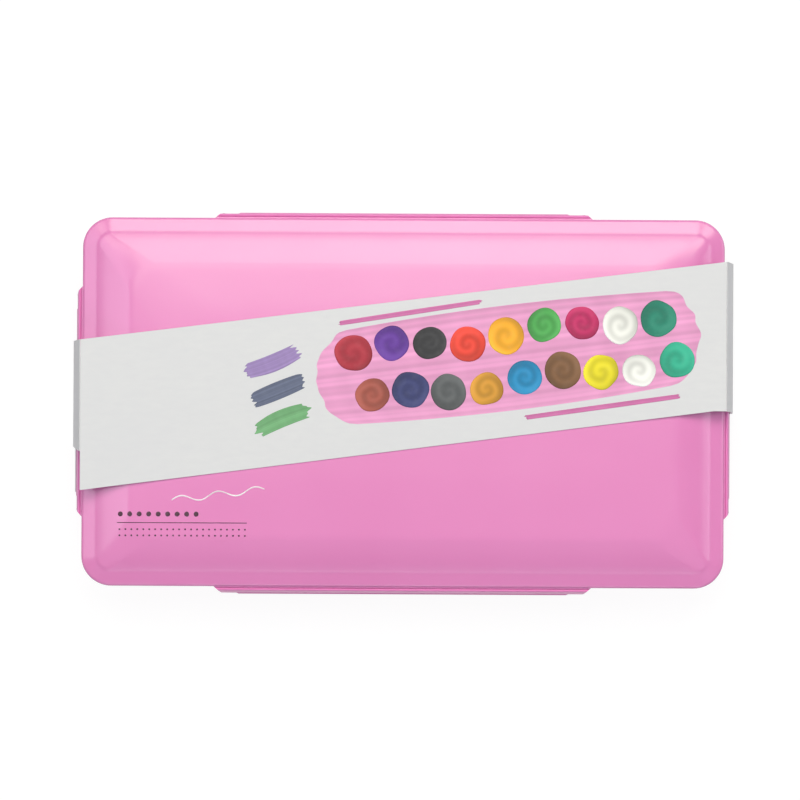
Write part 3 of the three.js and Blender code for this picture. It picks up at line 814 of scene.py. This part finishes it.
def paint_surface(random, half, level):
    """The rings of a filling's surface, z = dome + swirl: the dome falls with the square of the
    distance from the middle, and the swirl is a spiral wave with a small peak."""
    edge = rounded_ring((half, half), PAINT_RADIUS, PAINT_STEPS)
    share = np.linspace(1, 0.02, 34)[:, None]
    angle = np.arctan2(edge[:, 1], edge[:, 0])[None, :]
    reach = np.linalg.norm(edge, axis=1)[None, :] * share
    off = random.uniform(-OFF_CENTRE, OFF_CENTRE, 2)
    turn = random.choice([-1, 1])
    coils = random.uniform(620, 900)
    phase = random.uniform(0, math.tau)
    x = edge[:, 0] * share + off[0] * (1 - share ** 2)
    y = edge[:, 1] * share + off[1] * (1 - share ** 2)
    fade = np.clip(1 - reach / half, 0, 1) * np.clip(reach / SWIRL_FADE, 0, 1)
    swirl = SWIRL * np.sin(coils * reach + turn * 2 * angle + phase) * fade
    ripple = RIPPLE * np.sin(3 * angle + RIPPLE_WAVES * reach + phase * 2) * (1 - share)
    peak = PEAK_HEIGHT * np.exp(-(reach / PEAK_WIDTH) ** 2)
    meniscus = -EDGE_DROP * np.clip(share - (1 - EDGE_SHARE), 0, 1) / EDGE_SHARE
    dome = DOME * (1 - share ** 2)
    z = level + dome + swirl + ripple + peak + meniscus
    return list(np.stack([x, y, z], axis=-1))


def make_paint(index, centre):
    """Foot and side follow the cup's inside, up to the surface."""
    name, colour = PAINTS[index]
    number = f"{index + 1:02d}"
    cup_low, cup_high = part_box(f"cup_{number}")
    foot = cup_low[2] + CUP_WALL + PAINT_FOOT_GAP
    wall_inset = FLANGE_REACH + CUP_WALL + PAINT_WALL_GAP
    floor_inset = wall_inset + CUP_DRAFT
    half = FLANGE_HALF - (wall_inset + CUP_DRAFT * PAINT_DROP / CUP_DEPTH)
    rings = []
    for inset, height in ((floor_inset + FOOT_ROUND, foot), (floor_inset, foot + FOOT_ROUND)):
        ring = rounded_ring([FLANGE_HALF - inset] * 2, PAINT_RADIUS, PAINT_STEPS)
        rings.append(raised(ring, height))
    rings += paint_surface(np.random.default_rng(100 + index), half, cup_high[2] - PAINT_DROP)
    shape = capped([ring + np.array([*centre, 0]) for ring in rings])
    surface = gouache(f"gouache_{name}", linear(*colour))
    piece(f"gouache_{number}", shape, f"cup_{number}", surface, [f"paint_{number}"])


# Palette

PALETTE_RADIUS = 0.010
PALETTE_RIM = 0.0014
PALETTE_SLOPE = 0.0024
PALETTE_DEPTH = 0.0008
FOOT_RUN, TOP_RUN = 0.004, 0.008


def make_palette():
    """A flat plate with a low rim all round."""
    foot, top = PALETTE_LOW[2], PALETTE_HIGH[2]
    path = softened([
        (FOOT_RUN, foot, 0),
        (0, foot, SOFT),
        (0, top, SMALL),
        (PALETTE_RIM, top, SMALL),
        (PALETTE_SLOPE, top - PALETTE_DEPTH, FULL),
        (TOP_RUN, top - PALETTE_DEPTH, 0),
    ])
    corner = corner_rule(PALETTE_RADIUS, LEAST_RADIUS)
    shape = lofted(path, PALETTE_HIGH[:2], corner, CORNER_STEPS)
    piece("mixing_palette", shape, "palette", PALETTE_PLASTIC, ["palette"])


# Card band

CARD_WALL = 0.0004
LEFT_FRONT, LEFT_BACK = -0.0434, 0.0297
RIGHT_FRONT, RIGHT_BACK = -0.0036, 0.0689
FLAP_FRONT = -0.0195
LEFT_TAPER = 0.005
BEND_X = LID_HALF[0] - 0.0054
CREASE_REACH = 0.0009
CREASE_GAP = 0.00004
BOW_PLAY = 0.0006
BOW_DROP = 0.0105
BELLY_DROP = 0.027
EASE_STEPS = 5
FLAP_INSET = 0.006
FLAP_CORNER = 0.004
INK_ROOM = 0.0001
INK_STEP = 0.000025
INK_THICKNESS = 0.000015


def band_edges(x, half):
    """Front and back edges of the band at x: straight between the creases, level after the bend."""
    front = np.interp(x, [-half, BEND_X, half], [LEFT_FRONT, RIGHT_FRONT, RIGHT_FRONT])
    back = np.interp(x, [-half, half], [LEFT_BACK, RIGHT_BACK])
    return front, back


def card_panel(half, foot, top, columns=64, rows=14):
    """A flat panel between the band's two edges: y runs from the front edge to the back edge."""
    x = np.unique(np.append(np.linspace(-half, half, columns), BEND_X))
    front, back = band_edges(x, half)
    y = front + np.linspace(0, 1, rows)[:, None] * (back - front)
    flat = np.column_stack([np.broadcast_to(x, y.shape).ravel(), y.ravel()])
    count, columns = y.size, len(x)
    upper = grid_faces(rows, columns, wrap=False)
    lower = [face[::-1] for face in grid_faces(rows, columns, wrap=False, start=count)]
    rim = np.concatenate([
        np.arange(columns),
        np.arange(1, rows) * columns + columns - 1,
        (rows - 1) * columns + np.arange(columns - 2, -1, -1),
        np.arange(rows - 2, 0, -1) * columns,
    ])
    ahead = np.roll(rim, -1)
    walls = np.stack([rim + count, ahead + count, ahead, rim], axis=1).tolist()
    return np.concatenate([raised(flat, top), raised(flat, foot)]), upper + lower + walls


def make_band_top():
    half = LID_HALF[0] + CREASE_REACH - CARD_WALL / 2 - CREASE_GAP
    shape = card_panel(half, BAND_LOW[2], BAND_HIGH[2] - INK_ROOM)
    piece("band_top_card", shape, "band", CARD, ["band_front"])


def glue_flap(near, far, front, back):
    """A flap that stands on the under panel between two planes of x, with rounded upper corners."""
    front, back, top = front + FLAP_INSET, back - FLAP_INSET, UNDER_HIGH[2]
    quarter = np.linspace(0, math.pi / 2, 6)
    run, drop = FLAP_CORNER * (1 - np.cos(quarter)), FLAP_CORNER * (1 - np.sin(quarter))
    line = np.concatenate([
        [[front, 0.0], [back, 0.0]],
        np.column_stack([back - run, top - drop]),
        np.column_stack([front + run, top - drop])[::-1],
    ])
    return capped([np.column_stack([np.full(len(line), x), line]) for x in (near, far)])


def make_band_under():
    """The panel under the box, with a glue flap standing inside each end panel."""
    reach = UNDER_HIGH[0]
    parts = [card_panel(reach, UNDER_LOW[2], UNDER_LOW[2] + CARD_WALL)]
    for way, front, back in ((-1, FLAP_FRONT, LEFT_BACK), (1, RIGHT_FRONT, RIGHT_BACK)):
        parts.append(glue_flap(way * (reach - CARD_WALL), way * reach, front, back))
    piece("band_under_card", joined(parts), "band_under", CARD, ["band_under"], merge=1e-7)


def make_band_end(side):
    """A line from the crease, out past the latch and down, carried from front to back."""
    node = f"band_{side}_end"
    low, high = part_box(node)
    way, taper = (1, 0.0) if side == "right" else (-1, LEFT_TAPER)
    half = CARD_WALL / 2
    outer = max(abs(low[0]), abs(high[0])) - half
    crease_x = LID_HALF[0] + CREASE_REACH
    crease_z = high[2] - half
    knots = np.array([
        (crease_x, crease_z),
        (LID_HALF[0] + LATCH_REACH + BOW_PLAY, crease_z - BOW_DROP),
        (outer, crease_z - BELLY_DROP),
        (outer, low[2]),
    ])
    z = np.linspace(knots[0, 1], knots[-1, 1], 30)
    x = np.interp(-z, -knots[:, 1], knots[:, 0])
    padding = EASE_STEPS // 2
    window = np.ones(EASE_STEPS) / EASE_STEPS
    x[padding:] = np.convolve(np.pad(x, padding, mode="edge"), window, mode="valid")[padding:]
    angle = np.linspace(0, math.pi, 9)
    section = np.concatenate([
        np.column_stack([crease_x + half * np.cos(angle), crease_z + half * np.sin(angle)]),
        np.column_stack([x[1:] - half, z[1:]]),
        np.column_stack([x[1:] + half, z[1:]])[::-1],
    ])
    drop = np.clip((crease_z - section[:, 1]) / (crease_z - low[2]), 0, 1)
    front, back = low[1] + taper * drop, high[1]
    rings = [np.column_stack([way * section[:, 0], front + share * (back - front), section[:, 1]])
             for share in np.linspace(0, 1, 16)]
    piece(f"band_{side}_card", capped(rings), f"band_{side}", CARD, [node], merge=1e-8)


# Print on the card and the lid: plain dabs of the set's colours, strokes and dots

DAB_WAVE = 0.045
DAB_LIT_FROM = 2.2
DAB_LIGHT = 0.34
DAB_STIR = 0.672
DAB_RIM_SHARE, DAB_RIM_SHADE = 0.97, 0.1
BRISTLE_TONE, DRAG_TONE = 0.07, 0.02
STROKE_BELLY = 0.1
GLEAM = 0.06


def dab(centre, radius, seed, squeeze=1.0, turn=0.0, rings=16, around=84):
    """A round dab of paint. Its edge is radius * (1 + a few waves round it), and its tone is lit from
    the back left, with a spiral stir: sin(coils * share + angle) * share * (1 - share)."""
    random = np.random.default_rng(seed)
    angle = np.linspace(0, math.tau, around, endpoint=False)
    edge = np.ones(around)
    for wave in range(2, 7):
        height = DAB_WAVE / wave * random.normal()
        edge += height * np.cos(wave * angle + random.uniform(0, math.tau))
    share = np.linspace(1, 0.03, rings)[:, None]
    x = share * radius * edge * np.cos(angle)
    y = share * radius * edge * np.sin(angle) * squeeze
    u = centre[0] + x * math.cos(turn) - y * math.sin(turn)
    v = centre[1] + x * math.sin(turn) + y * math.cos(turn)
    lit = DAB_LIGHT * np.cos(angle - DAB_LIT_FROM) * share ** 3
    stir = np.sin(random.uniform(7, 11) * share + random.choice([-1, 1]) * angle + random.uniform(0, 6))
    tone = lit + DAB_STIR * stir * share * (1 - share) - DAB_RIM_SHADE * (share > DAB_RIM_SHARE)
    faces = grid_faces(rings, around)
    faces.append(list(range((rings - 1) * around, rings * around)))
    return np.column_stack([u.ravel(), v.ravel()]), faces, tone.ravel()


def even_noise(random, count, reach):
    """A random series of unit spread, smoothed by a raised cosine over reach neighbours."""
    window = np.hanning(reach + 2)[1:-1]
    series = random.normal(size=count + reach - 1)
    return np.convolve(series, window / np.linalg.norm(window), mode="valid")


def stroke(start, end, width, bend, seed, along, across, dry=0.0, tip=0.0):
    """A bent stroke of bristles. Each starts and stops a little early or late, and by
    tip * width * (1 - sqrt(1 - (2t)^2)) inside the stroke's ends, which rounds them. Its tone is
    smoothed across its neighbours."""
    random = np.random.default_rng(seed)
    s = np.linspace(0, 1, along)[None, :]
    t = np.linspace(-0.5, 0.5, across)[:, None]
    start, end = np.array(start), np.array(end)
    way = end - start
    side = np.array([-way[1], way[0]]) / np.linalg.norm(way)
    ends = [even_noise(random, across, max(1, across // 5))[:, None] for _ in range(2)]
    rounding = tip * width / np.linalg.norm(way) * (1 - np.sqrt(1 - (2 * t) ** 2))
    run = s + (dry * ends[0] + rounding) * (1 - s) ** 4 + (dry * ends[1] - rounding) * s ** 4
    arch = np.sin(math.pi * s)
    breadth = width * t * (1 - STROKE_BELLY + STROKE_BELLY * arch)
    lift = bend * arch
    u = start[0] + way[0] * run + side[0] * (breadth + lift)
    v = start[1] + way[1] * run + side[1] * (breadth + lift)
    bristle = even_noise(random, across, 3)[:, None]
    drag = even_noise(random, along, 7)[None, :]
    tone = BRISTLE_TONE * bristle + DRAG_TONE * drag
    return np.column_stack([u.ravel(), v.ravel()]), grid_faces(across, along, wrap=False), tone.ravel()


def inked(name, marks, body, height, surface_of):
    """Flat marks as one mesh of thin closed layers. The attribute ink is each mark's colour times
    (1 + its tone)."""
    parts, inks = [], []
    for flat, faces, tone, colour, layer in marks:
        z = surface_of(flat[:, 0], flat[:, 1]) + height + layer * INK_STEP
        parts.append((np.column_stack([flat, z]), faces))
        base = np.array(linear(*colour)[:3])
        shade = base * (1 + tone[:, None]) + GLEAM * np.clip(tone, 0, 1)[:, None]
        inks.append(np.column_stack([np.clip(shade, 0, 1), np.ones(len(flat))]))
    made = piece(name, joined(parts), body, INK, sharp=math.pi, thickness=INK_THICKNESS)
    attribute = made.data.attributes.new("ink", "FLOAT_COLOR", "POINT")
    attribute.data.foreach_set("color", np.concatenate(inks).ravel())


# Strokes on the band: start and end in shares of its half length and width, then width, bend, seed,
# steps along and across, how ragged the ends are, colour and layer
WASH_STROKES = [
    ((-0.26, 0.53), (0.92, 0.53), 0.051, 0.0, 5, 140, 60, 0.005, (232, 158, 204), 0),
    ((-0.20, 0.90), (0.24, 0.93), 0.0024, 0.0, 9, 60, 8, 0.006, (206, 112, 170), 1),
    ((0.38, 0.115), (0.86, 0.13), 0.0024, 0.0, 12, 60, 8, 0.006, (206, 112, 170), 1),
]
LOOSE_STROKES = [
    ((-0.485, 0.65), (-0.325, 0.75), 0.0085, -0.0008, 20, 60, 40, 0.03, (158, 134, 190), 1),
    ((-0.47, 0.45), (-0.31, 0.55), 0.0085, 0.0, 21, 60, 40, 0.03, (96, 104, 130), 1),
    ((-0.455, 0.25), (-0.295, 0.35), 0.0085, 0.0008, 22, 60, 40, 0.03, (112, 170, 118), 1),
]
STROKE_TIP = 0.3
FIRST_DAB, DAB_PITCH = -0.155, 0.0592
DAB_RADIUS, RADIUS_SWAY, DAB_SQUEEZE = 0.0086, 0.0005, 0.97
DAB_ROW, DAB_ROW_GAP, DAB_ROW_SWAY = 0.69, 0.32, 0.035


def on_band(along_share, across_share):
    x = LID_HALF[0] * along_share
    front, back = band_edges(x, LID_HALF[0])
    return np.array([x, front + across_share * (back - front)])


def band_stroke(first, last, width, bend, seed, along, across, dry, colour, layer):
    first, last = on_band(*first), on_band(*last)
    return (*stroke(first, last, width, bend, seed, along, across, dry, STROKE_TIP), colour, layer)


def make_band_print():
    """A pink wash with two staggered rows of dabs on it, and three loose strokes beside it."""
    marks = [band_stroke(*settings) for settings in WASH_STROKES]
    tilt = math.atan2(RIGHT_BACK - LEFT_BACK, 2 * LID_HALF[0])
    for index, (_, colour) in enumerate(PAINTS):
        across = DAB_ROW - DAB_ROW_GAP * (index % 2) + DAB_ROW_SWAY * math.sin(index * 0.75)
        place = on_band(FIRST_DAB + index * DAB_PITCH, across)
        radius = DAB_RADIUS + RADIUS_SWAY * math.cos(index * 2.3)
        marks.append((*dab(place, radius, 40 + index, DAB_SQUEEZE, tilt + index), colour, 2))
    marks += [band_stroke(*settings) for settings in LOOSE_STROKES]
    height = BAND_HIGH[2] - INK_ROOM + INK_STEP
    inked("band_print", marks, "band", height, lambda x, y: np.zeros(len(x)))


# The marks on the lid
LID_INK, WAVE_INK = (72, 40, 58), (252, 236, 246)
LID_INK_GAP = 0.00004
RULE_START, RULE_PART = np.array([-0.1385, -0.0590]), np.array([0.01575, 0.0])
RULE_PARTS, RULE_WIDTH = 4, 0.0004
WAVE_START, WAVE_PART = np.array([-0.112, -0.0480]), np.array([0.009, 0.0011])
WAVE_PARTS, WAVE_WIDTH, WAVE_HEIGHT = 5, 0.0007, 0.0016
# Rows of dots: count, pitch, radius, start from the rule's start, seed, rings and points round
DOT_ROWS = [
    (9, 0.0046, 0.0012, (0.0016, 0.0042), 7, 5, 28),
    (22, 0.0029, 0.00045, (0.0012, -0.0032), 90, 3, 14),
    (22, 0.0029, 0.00045, (0.0012, -0.0062), 90, 3, 14),
]


def make_lid_print():
    """A thin rule between rows of small dots, and a white wave, low on the left of the lid."""
    marks = []
    for index in range(RULE_PARTS):
        start = RULE_START + index * RULE_PART
        marks.append((*stroke(start, start + RULE_PART, RULE_WIDTH, 0.0, 3, 24, 3), LID_INK, 0))
    for count, pitch, radius, offset, seed, rings, around in DOT_ROWS:
        for index in range(count):
            place = RULE_START + offset + (index * pitch, 0)
            marks.append((*dab(place, radius, seed + index, rings=rings, around=around), LID_INK, 0))
    for index in range(WAVE_PARTS):
        start, bend = WAVE_START + index * WAVE_PART, WAVE_HEIGHT * (-1) ** index
        wave = stroke(start, start + WAVE_PART, WAVE_WIDTH, bend, 60 + index, 30, 3)
        marks.append((*wave, WAVE_INK, 0))
    inked("lid_print", marks, "lid", LID_INK_GAP, lid_height)


# Floor, light and camera

WHITE = (1, 1, 1, 1)
FLOOR_HALF = 4.0
FLOOR_DROP = 0.0002
FLOOR_GLOW = 1.12
GLOW_SHARE = 0.82
ROOM_COLOUR = (0.97, 0.98, 1.0, 1)
ROOM_LIGHT = 0.12
WARM = (1.0, 0.98, 0.83)
COOL = (0.91, 0.94, 1.0)
# Name, place, size, power and tint of each lamp
SOFTBOXES = [
    ("back", (0.05, 1.4, 1.7), (0.8, 0.95), 12.3, WARM),
    ("back_left", (-0.75, 1.1, 1.73), (0.5, 0.7), 3.3, WARM),
    ("back_right", (0.8, 1.1, 1.73), (0.6, 0.8), 7.2, WARM),
    ("crown", (-0.05, 0.61, 2.11), (0.94, 0.84), 8.3, WARM),
    ("overhead", (0.0, -0.25, 2.17), (2.9, 2.3), 8.5, COOL),
    ("front", (0.1, -1.7, 1.0), (1.6, 0.6), 6.0, COOL),
    ("left", (-1.24, 0.4, 1.78), (1.3, 1.0), 8.2, COOL),
    ("right", (1.85, 0.3, 1.0), (0.9, 0.9), 5.7, COOL),
]

# The photograph: its width, the length of the lid in it and the lid's middle, in pixels
PHOTO_WIDTH = 800
LID_PIXELS = 642.2
LID_MIDDLE = (403.15, 402.75)
CAMERA_AWAY = 6.0
CAMERA_TILT = math.radians(1.6)
CAMERA_ROLL = math.radians(0.3)


def seen_as_background(tree):
    """1 where a surface is seen, also in gloss or through glass, and 0 where it only sends light."""
    path = tree.nodes.new("ShaderNodeLightPath")
    seen = path.outputs["Is Camera Ray"]
    for ray in ("Is Glossy Ray", "Is Transmission Ray"):
        either = tree.nodes.new("ShaderNodeMath")
        either.operation = "MAXIMUM"
        tree.links.new(seen, either.inputs[0])
        tree.links.new(path.outputs[ray], either.inputs[1])
        seen = either.outputs[0]
    return seen


def mixed_surface(tree, share, first, second, output):
    """The output's surface, blended from the first shader to the second by a share."""
    mix = tree.nodes.new("ShaderNodeMixShader")
    for socket, shown in zip(mix.inputs, (share, first.outputs[0], second.outputs[0])):
        tree.links.new(shown, socket)
    tree.links.new(mix.outputs[0], tree.nodes[output].inputs["Surface"])


def make_floor():
    """A pale floor that the camera sees nearly white, with the object's shadow on it."""
    corners = [(FLOOR_HALF * x, FLOOR_HALF * y, 0) for x, y in ((-1, -1), (1, -1), (1, 1), (-1, 1))]
    mesh = bpy.data.meshes.new("floor")
    mesh.from_pydata(corners, [], [(0, 1, 2, 3)])
    made = Nodes("pale_floor")
    grain = made.noise(6.0, 2.0)
    made.join(made.blend(grain, linear(212, 212, 212), linear(218, 218, 218)), "Base Color")
    made.set(Roughness=0.9)
    glow = made.add("Emission", inputs={"Color": WHITE, "Strength": FLOOR_GLOW})
    shown = made.add("Math", {"operation": "MULTIPLY"},
                     {0: seen_as_background(made.tree), 1: GLOW_SHARE})
    mixed_surface(made.tree, shown.outputs[0], made.shader, glow, "Material Output")
    mesh.materials.append(made.material)
    floor = placed("floor", mesh)
    floor.location.z = CAD_BOX[0][2] - FLOOR_DROP


def make_world():
    """A dim grey room, white where the camera looks at it."""
    world = bpy.data.worlds.new("studio")
    bpy.context.scene.world = world
    world.use_nodes = True
    tree = world.node_tree
    room, white = tree.nodes["Background"], tree.nodes.new("ShaderNodeBackground")
    for background, colour, strength in ((room, ROOM_COLOUR, ROOM_LIGHT), (white, WHITE, 1.0)):
        background.inputs["Color"].default_value = colour
        background.inputs["Strength"].default_value = strength
    mixed_surface(tree, seen_as_background(tree), room, white, "World Output")


def softbox(name, place, size, power, tint):
    """A large square-on lamp aimed at the box."""
    light = bpy.data.lights.new(f"{name}_softbox", "AREA")
    light.color = tint
    light.shape = "RECTANGLE"
    light.size, light.size_y = size
    light.energy = power
    lamp = placed(light.name, light)
    lamp.location = place
    lamp.rotation_euler = (-Vector(place)).to_track_quat("-Z", "Y").to_euler()


def make_camera():
    """A distant camera over the box, whose lens gives the lid its length in the photograph."""
    pixel = 2 * LID_HALF[0] / LID_PIXELS
    data = bpy.data.cameras.new("camera")
    camera = placed("camera", data)
    data.lens = data.sensor_width * CAMERA_AWAY / (pixel * PHOTO_WIDTH)
    data.clip_start, data.clip_end = 0.05, 50.0
    aim = Vector((
        (PHOTO_WIDTH / 2 - LID_MIDDLE[0]) * pixel,
        (LID_MIDDLE[1] - PHOTO_WIDTH / 2) * pixel,
        LID_RIM + SKIRT_RISE,
    ))
    level = math.sin(CAMERA_TILT)
    away = Vector((level * math.sin(CAMERA_ROLL), -level * math.cos(CAMERA_ROLL), math.cos(CAMERA_TILT)))
    camera.location = aim + away * CAMERA_AWAY
    camera.rotation_euler = (CAMERA_TILT, 0, CAMERA_ROLL)
    bpy.context.scene.camera = camera


bpy.context.scene.view_settings.view_transform = "Standard"
make_camera()
make_world()
for lamp_settings in SOFTBOXES:
    softbox(*lamp_settings)
make_floor()
make_tray()
make_rack()
make_palette()
for number, (cup_node, cup_centre) in enumerate(zip(CUP_NODES, CUP_CENTRES)):
    make_cup(cup_node, cup_centre)
    make_paint(number, cup_centre)
make_lid()
make_ledges()
for side_name in SIDES:
    make_latch(side_name)
make_band_top()
make_band_under()
make_band_end("left")
make_band_end("right")
make_band_print()
make_lid_print()
